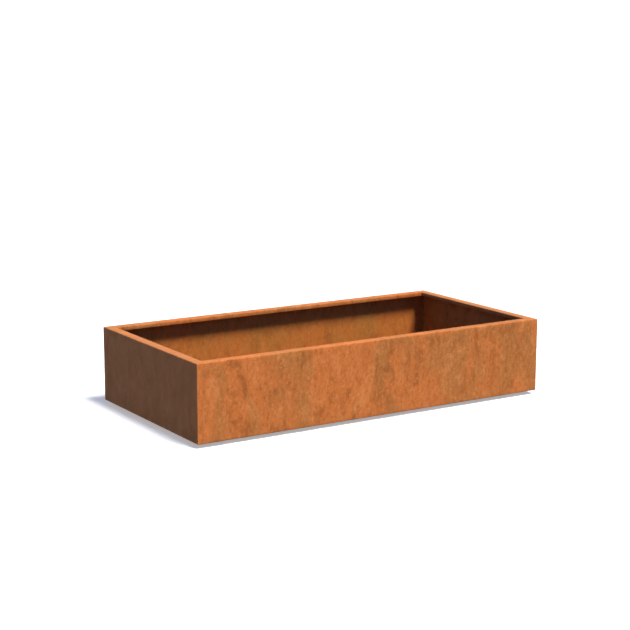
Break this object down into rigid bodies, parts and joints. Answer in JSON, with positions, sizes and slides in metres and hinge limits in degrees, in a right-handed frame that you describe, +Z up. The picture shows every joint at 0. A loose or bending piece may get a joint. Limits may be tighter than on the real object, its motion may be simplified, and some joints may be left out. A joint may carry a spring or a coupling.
{
  "type": "planter box",
  "caption": "Low rectangular planter box of folded weathering steel with a turned-in rim, a drained base on channels and levelling feet.",
  "frame": {"origin": "on the ground under the middle of the box", "axes": "+X along the length, front long wall at -Y, +Z up"},
  "size_m": [2, 1, 0.4],
  "materials": {
    "weathering_steel": "matte orange-brown rust patina, mottled and streaked down the walls",
    "dark_weathering_steel": "matte dark brown rust",
    "weld_metal": "rippled weld bead under dark rust",
    "zinc_plated_steel": "dull zinc plating",
    "black_rubber": "matte moulded rubber"
  },
  "bodies": {
    "box": {"front_wall": "weathering_steel", "rear_wall": "weathering_steel", "left_wall": "weathering_steel", "right_wall": "weathering_steel", "corner_welds": "weld_metal", "rim_mitre_welds": "weld_metal", "base_plate": "weathering_steel", "base_welds": "weld_metal", "lifting_lugs": "dark_weathering_steel", "lug_welds": "weld_metal", "foot_nuts": "zinc_plated_steel", "tie_brackets": "dark_weathering_steel", "tie_bracket_welds": "weld_metal", "tie_bar": "dark_weathering_steel", "tie_bolts": "zinc_plated_steel", "tie_washers": "zinc_plated_steel", "tie_nuts": "zinc_plated_steel", "left_outer_bearer": "dark_weathering_steel", "left_inner_bearer": "dark_weathering_steel", "middle_bearer": "dark_weathering_steel", "right_inner_bearer": "dark_weathering_steel", "right_outer_bearer": "dark_weathering_steel"},
    "front_left_foot": {"front_left_foot_sole": "black_rubber", "front_left_foot_pad": "zinc_plated_steel"},
    "front_left_screw": {"front_left_foot_screw": "zinc_plated_steel"},
    "front_middle_foot": {"front_middle_foot_sole": "black_rubber", "front_middle_foot_pad": "zinc_plated_steel"},
    "front_middle_screw": {"front_middle_foot_screw": "zinc_plated_steel"},
    "front_right_foot": {"front_right_foot_sole": "black_rubber", "front_right_foot_pad": "zinc_plated_steel"},
    "front_right_screw": {"front_right_foot_screw": "zinc_plated_steel"},
    "rear_left_foot": {"rear_left_foot_sole": "black_rubber", "rear_left_foot_pad": "zinc_plated_steel"},
    "rear_left_screw": {"rear_left_foot_screw": "zinc_plated_steel"},
    "rear_middle_foot": {"rear_middle_foot_sole": "black_rubber", "rear_middle_foot_pad": "zinc_plated_steel"},
    "rear_middle_screw": {"rear_middle_foot_screw": "zinc_plated_steel"},
    "rear_right_foot": {"rear_right_foot_sole": "black_rubber", "rear_right_foot_pad": "zinc_plated_steel"},
    "rear_right_screw": {"rear_right_foot_screw": "zinc_plated_steel"}
  },
  "joints": [
    {"name": "front_left_foot_travel", "type": "slide", "parent": "box", "child": "front_left_foot", "axis": [0, 0, -1], "range_m": [0, 0.015]},
    {"name": "front_left_screw_turn", "type": "hinge", "parent": "front_left_foot", "child": "front_left_screw", "pos_m": [-0.8, -0.4, 0.02], "axis": [0, 0, -1], "range_deg": [0, 2700]},
    {"name": "front_middle_foot_travel", "type": "slide", "parent": "box", "child": "front_middle_foot", "axis": [0, 0, -1], "range_m": [0, 0.015]},
    {"name": "front_middle_screw_turn", "type": "hinge", "parent": "front_middle_foot", "child": "front_middle_screw", "pos_m": [0, -0.4, 0.02], "axis": [0, 0, -1], "range_deg": [0, 2700]},
    {"name": "front_right_foot_travel", "type": "slide", "parent": "box", "child": "front_right_foot", "axis": [0, 0, -1], "range_m": [0, 0.015]},
    {"name": "front_right_screw_turn", "type": "hinge", "parent": "front_right_foot", "child": "front_right_screw", "pos_m": [0.8, -0.4, 0.02], "axis": [0, 0, -1], "range_deg": [0, 2700]},
    {"name": "rear_left_foot_travel", "type": "slide", "parent": "box", "child": "rear_left_foot", "axis": [0, 0, -1], "range_m": [0, 0.015]},
    {"name": "rear_left_screw_turn", "type": "hinge", "parent": "rear_left_foot", "child": "rear_left_screw", "pos_m": [-0.8, 0.4, 0.02], "axis": [0, 0, -1], "range_deg": [0, 2700]},
    {"name": "rear_middle_foot_travel", "type": "slide", "parent": "box", "child": "rear_middle_foot", "axis": [0, 0, -1], "range_m": [0, 0.015]},
    {"name": "rear_middle_screw_turn", "type": "hinge", "parent": "rear_middle_foot", "child": "rear_middle_screw", "pos_m": [0, 0.4, 0.02], "axis": [0, 0, -1], "range_deg": [0, 2700]},
    {"name": "rear_right_foot_travel", "type": "slide", "parent": "box", "child": "rear_right_foot", "axis": [0, 0, -1], "range_m": [0, 0.015]},
    {"name": "rear_right_screw_turn", "type": "hinge", "parent": "rear_right_foot", "child": "rear_right_screw", "pos_m": [0.8, 0.4, 0.02], "axis": [0, 0, -1], "range_deg": [0, 2700]}
  ],
  "couplings": [
    {"joint": "front_left_screw_turn", "follows": "front_left_foot_travel", "rad_per_m": 3141.6},
    {"joint": "front_middle_screw_turn", "follows": "front_middle_foot_travel", "rad_per_m": 3141.6},
    {"joint": "front_right_screw_turn", "follows": "front_right_foot_travel", "rad_per_m": 3141.6},
    {"joint": "rear_left_screw_turn", "follows": "rear_left_foot_travel", "rad_per_m": 3141.6},
    {"joint": "rear_middle_screw_turn", "follows": "rear_middle_foot_travel", "rad_per_m": 3141.6},
    {"joint": "rear_right_screw_turn", "follows": "rear_right_foot_travel", "rad_per_m": 3141.6}
  ]
}
